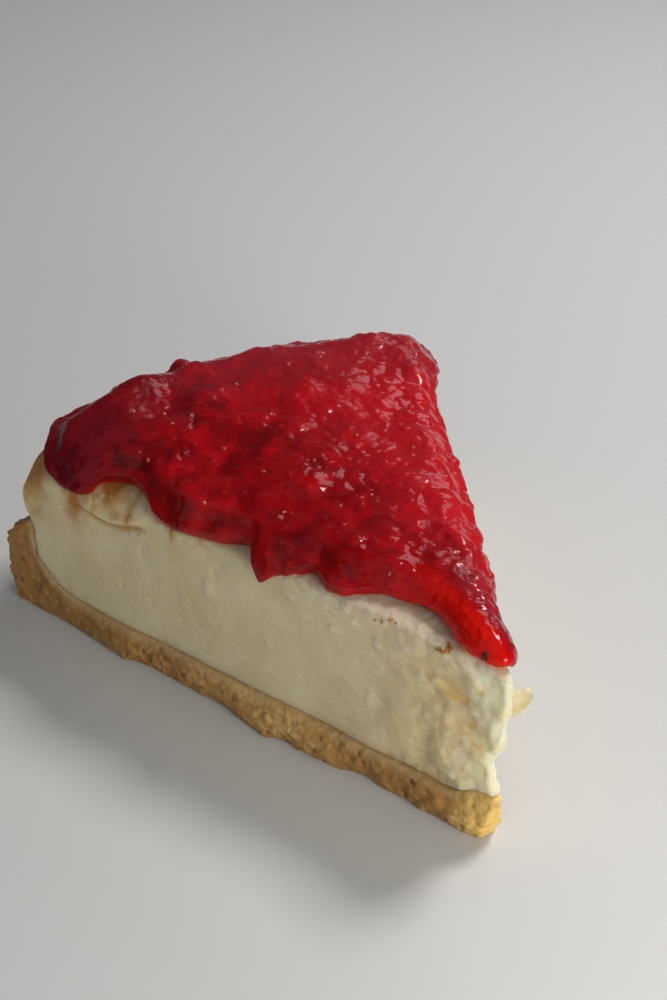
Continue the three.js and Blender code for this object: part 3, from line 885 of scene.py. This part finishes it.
def make_biscuit():
    piece = fine_copy("biscuit_base", "biscuit_crust", BISCUIT_VOXEL, BISCUIT_SMOOTHING, SHARP_ANGLE)
    mesh = piece.data
    points, normals = read(mesh)
    radius = slice_places(points)[0]
    to_filling = way_to(points, tree_of(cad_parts["cheese_filling"].data), FILLING_REACH)[1]
    pressed = fade(to_filling, 0.6, 3.0)
    crumb_away, crumb_owner = grains(points, 1.35, 320)
    away, owner = grains(points, (2.9, 2.9, 2.3), 330)
    crumbly = 0.35 + 0.65 * ramp(layered(points, 7, 350, 2), -0.25, 0.25)
    crumbs = fade(crumb_away, 0.1, 0.75) * (CRUMB_HEIGHT + CRUMB_CHANGE * crumb_owner)
    chunks = fade(away, 0.15, 0.8) * (CHUNK_HEIGHT + CHUNK_CHANGE * owner)
    swells = SWELL_HEIGHT * layered(points, 5, 360, 2)
    pits = ramp(layered(points, 1.5, 340, 2), 0.35, 0.65)
    relief = (crumbs - PIT_DEPTH * pits) * crumbly + chunks + swells - BISCUIT_LOWERED
    relief *= (1 - 0.85 * pressed) * (1 - 0.9 * fade(normals[:, 2], -0.9, -0.5))
    on_cut = np.maximum(cut_mask(normals, LEFT_OUTWARD), cut_mask(normals, RIGHT_OUTWARD))
    relief -= DRAWN_IN * on_cut * fade(to_filling, 0.3, 2.2)
    points += normals * relief[:, None]
    points[:, 2] = np.maximum(points[:, 2], 0)
    write(mesh, points)

    # painted shade in the pits and in the gaps between crumbs
    holes = np.clip(pits + 0.6 * ramp(crumb_away, 0.45, 0.8), 0, 1)
    low = fade(points[:, 2], 0.2, 3.2)
    left_end = ramp(radius, 35, 95)
    by_tip = ramp(radius, 6, 9) * fade(radius, 30, 45)
    store(
        mesh,
        pit=holes * (1 - 0.8 * pressed),
        grain=crumb_owner * 0.5 + 0.5,
        pressed=pressed,
        # painted light on the crust's tip
        lit_tip=fade(radius, 2, 7),
        toasted=np.maximum(low, np.maximum(left_end, 0.95 * by_tip)),
    )
    finish_mesh(piece, biscuit_material())
    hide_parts("biscuit_base")
    return piece


def biscuit_material():
    material, tree, shader = new_material("biscuit_crust")
    place = millimetres(tree)
    crumb = cells(tree, place, 1.2)
    tone = add(tree, "ShaderNodeSeparateColor", Color=crumb.outputs["Color"]).outputs[0]
    colour = mixed(tree, stored(tree, "grain"), CRUMB, LIGHT_CRUMB)
    colour = mixed(tree, spread(tree, tone, 0.6, 1, 0, 0.6), colour, PALE_CELL)
    colour = mixed(tree, spread(tree, tone, 0.3, 0, 0, 0.6), colour, DARK_CELL)
    clouds = spread(tree, noise(tree, place, 7, 3), 0.35, 0.7)
    colour = mixed(tree, product_of(tree, clouds, 0.4), colour, CLOUDED)
    # painted shade in the pits and between crumbs
    colour = tinted(tree, colour, "pit", 0.7, PIT)
    colour = tinted(tree, colour, "toasted", 0.8, TOASTED)
    colour = tinted(tree, colour, "pressed", 0.5, PRESSED)
    # painted light, golden, on the crust's tip
    colour = tinted(tree, colour, "lit_tip", spread(tree, tone, 0, 0.5, 0.55, 0.95), GOLDEN)

    grain = noise(tree, place, 0.7, 4, 0.7)
    relief = bump(tree, grain, 0.12)
    relief = bump(tree, spread(tree, crumb.outputs["Distance"], 0.7, 0.1), 0.1, relief)
    fill_shader(
        tree,
        shader,
        Base_Color=colour,
        Normal=relief,
        Roughness=spread(tree, grain, 0.3, 0.7, 0.5, 0.8),
        Subsurface_Weight=0.3,
        Subsurface_Radius=(1, 0.6, 0.3),
        Subsurface_Scale=2 * MM,
    )
    return material


biscuit = make_biscuit()
filling = make_filling(tree_of(biscuit.data))
filling_tree = tree_of(filling.data)
make_shaving()
topping = make_topping(filling_tree)
topping_tree = tree_of(topping.data)


# Seeds of the strawberries, sunk a little in the topping
SEED_LENGTH = 1.15
SEED_SINK = 0.1
SEED_COUNT = 24
SEEDS_APART = 5
SEED_COLOURS = ((0.50, 0.06, 0.025), (0.60, 0.15, 0.06))
# The nearest ones: radius and share
PLACED_SEEDS = (
    (86.0, -0.02),
    (77.9, 0.10),
    (71.9, 0.36),
    (64.7, 0.43),
    (69.1, -0.40),
    (51.7, 0.04),
    (51.8, 0.14),
)
# Dark specks in the topping: distance from the tip, height and size
SPECK_COLOURS = ((0.045, 0.002, 0.002), (0.10, 0.004, 0.004))
SPECKS = (
    (4.3, 44.2, 0.55),
    (4.7, 43.7, 0.6),
    (4.2, 43.3, 0.5),
    (4.9, 43.0, 0.35),
    (20.5, 42.9, 0.55),
    (21.1, 42.6, 0.4),
)
# Clusters of browned grains on the filling: distance from the tip, height, grains and reach
GRAIN_COLOURS = ((0.30, 0.11, 0.018), (0.50, 0.24, 0.055))
GRAIN_SIZES = (0.28, 0.5)
GRAIN_CLUSTERS = (
    (13.6, 40.4, 7, 0.45),
    (12.0, 41.0, 8, 0.45),
    (17.6, 42.2, 4, 0.4),
    (18.6, 43.0, 3, 0.5),
    (24.3, 41.0, 3, 0.6),
    (27, 40.0, 2, 0.8),
)
ABOVE = 80  # height from which plumb lines are dropped onto the topping
BESIDE = 20  # distance from which level lines are sent onto the left cut
SMALL_PATCH = {"patch": 1, "edges": (0.35, 0.65), "grain": 0.3, "depth": 0.05}
SEED_PATCH = {"patch": 6, "edges": (0.3, 0.7), "grain": 0.3, "depth": 0.05}


def ball(rings, sides):
    """Points and faces of a unit ball, longest axis along X."""
    points = [(1, 0, 0)]
    for ring in range(1, rings):
        tilt = math.pi * ring / rings
        for side in range(sides):
            turn = math.tau * side / sides
            points.append((math.cos(tilt), math.sin(tilt) * math.cos(turn), math.sin(tilt) * math.sin(turn)))
    points.append((-1, 0, 0))
    last = len(points) - 1
    start = last - sides
    faces = [(0, 1 + side, 1 + (side + 1) % sides) for side in range(sides)]
    faces += bands(1, rings - 2, sides)
    faces += [(last, start + (side + 1) % sides, start + side) for side in range(sides)]
    return points, faces


def scatter(name, places, shape, material):
    """One mesh of many small pieces. Each place is a matrix in millimetres."""
    points, faces = shape
    all_points, all_faces = [], []
    for place in places:
        start = len(all_points)
        all_points += [place @ Vector(point) for point in points]
        all_faces += [tuple(start + corner for corner in face) for face in faces]
    finish_mesh(new_piece(name, all_points, all_faces), material)


def lying(point, normal, turn, size):
    """A matrix that lays a shape flat on a surface, turned about its normal."""
    upright = Vector(normal).to_track_quat("Z", "X").to_matrix().to_4x4()
    spin = Matrix.Rotation(turn, 4, "Z")
    return Matrix.Translation(point) @ upright @ spin @ Matrix.Diagonal((*size, 1))


def met(tree, start, direction):
    """Where a line from a start meets a piece, and the piece's normal there."""
    point, normal, _, _ = tree.ray_cast(start * MM, direction)
    return (point / MM, normal) if point is not None else (None, None)


def from_above(tree, radius, share):
    """Where a plumb line at this place of the slice meets a piece."""
    angle = share * HALF_ANGLE
    start = Vector((TIP.x + radius * math.sin(angle), TIP.y + radius * math.cos(angle), ABOVE))
    return met(tree, start, Vector((0, 0, -1)))


def onto_cut(tree, along, height):
    """The same for a level line onto the left cut, at a distance from the tip and a height."""
    outward = Vector(LEFT_OUTWARD)
    start = Vector((*TIP, height)) + Vector(LEFT_ALONG) * along + outward * BESIDE
    return met(tree, start, -outward)


def seed_places(tree):
    random = np.random.default_rng(7)
    spots = list(PLACED_SEEDS)
    while len(spots) < SEED_COUNT:
        radius = RIM_RADIUS * math.sqrt(random.uniform(0.05, 0.83))
        share = random.uniform(-0.88, 0.92)
        apart = [math.hypot(radius - r, (share - s) * radius * HALF_ANGLE) for r, s in spots]
        if min(apart) > SEEDS_APART:
            spots.append((radius, share))
    places = []
    for radius, share in spots:
        point, normal = from_above(tree, radius, share)
        if point is not None:
            half = SEED_LENGTH / 2 * random.uniform(0.75, 1.05)
            size = (half, half * 0.75, half * 0.5)
            places.append(lying(point - normal * SEED_SINK, normal, random.uniform(0, math.tau), size))
    return places


def speck_places(tree):
    random = np.random.default_rng(11)
    places = []
    for along, height, size in SPECKS:
        point, normal = onto_cut(tree, along, height)
        if point is not None:
            shape = (size, size * 0.8, size * 0.3)
            places.append(lying(point, normal, random.uniform(0, math.tau), shape))
    return places


def grain_places(tree):
    random = np.random.default_rng(12)
    places = []
    for along, height, count, reach in GRAIN_CLUSTERS:
        for _ in range(count):
            spot = (along + random.normal(0, reach), height + random.normal(0, reach * 0.5))
            point, normal = onto_cut(tree, *spot)
            if point is not None:
                size = random.uniform(*GRAIN_SIZES)
                shape = (size, size * 0.8, size * 0.6)
                places.append(lying(point, normal, random.uniform(0, math.tau), shape))
    return places


seeds = plain_material("strawberry_seeds", SEED_COLOURS, **SEED_PATCH, Roughness=0.3, Coat_Weight=0.2)
dark_flesh = plain_material("dark_specks", SPECK_COLOURS, **SMALL_PATCH, Roughness=0.25)
browned = plain_material("browned_grains", GRAIN_COLOURS, **SMALL_PATCH, Roughness=0.6)
scatter("strawberry_seeds", seed_places(topping_tree), ball(6, 8), seeds)
scatter("dark_specks", speck_places(topping_tree), ball(6, 8), dark_flesh)
scatter("browned_grains", grain_places(filling_tree), ball(5, 6), browned)


# Floor and light
FLOOR_HALF_SIZE = 2000
FLOOR_BELOW = 0.05
FLOOR_GREY = (0.68, 0.68, 0.68)
WORLD_COLOUR = (0.88, 0.93, 1)
WORLD_STRENGTH = 0.07


def by_view(right, ahead, up):
    """A place by its distances to the right in the view, ahead and up."""
    return VIEW_RIGHT * right + VIEW_LEVEL * ahead + Vector((0, 0, up))


# Each light's name, place, target, size, power and colour
SLICE_MIDDLE = Vector((0, 0, 20))
LIGHTS = (
    ("window", by_view(330, 240, 600), SLICE_MIDDLE, 180, 2.9, (1, 0.98, 0.95)),
    ("ceiling", by_view(0, -250, 1200), SLICE_MIDDLE, 2000, 2.2, (0.92, 0.96, 1)),
    ("far_panel", by_view(250, 620, 430), SLICE_MIDDLE, 260, 0.42, (1, 0.95, 1)),
    ("fill", by_view(-420, -480, 300), SLICE_MIDDLE, 700, 0.42, (0.97, 0.98, 1)),
    ("front", Vector((16, -300, 110)), Vector((0, -55, 25)), 110, 0.42, (1, 0.97, 0.90)),
)


def make_floor():
    far = FLOOR_HALF_SIZE
    corners = [(x, y, -FLOOR_BELOW) for x, y in ((-far, -far), (far, -far), (far, far), (-far, far))]
    floor = new_piece("floor", corners, [(0, 1, 2, 3)])
    material, tree, shader = new_material("floor")
    fill_shader(tree, shader, Base_Color=opaque(FLOOR_GREY), Roughness=0.6)
    floor.data.materials.append(material)


def make_lights():
    world = bpy.data.worlds.new("studio")
    world.use_nodes = True
    background = world.node_tree.nodes["Background"]
    background.inputs["Color"].default_value = opaque(WORLD_COLOUR)
    background.inputs["Strength"].default_value = WORLD_STRENGTH
    bpy.context.scene.world = world
    bpy.context.scene.view_settings.view_transform = "Standard"
    for name, place, target, size, power, colour in LIGHTS:
        data = bpy.data.lights.new(name, "AREA")
        data.size = size * MM
        data.energy = power
        data.color = colour
        light = linked(name, data)
        light.location = place * MM
        light.rotation_euler = (target - place).to_track_quat("-Z", "Y").to_euler()


make_floor()
make_lights()
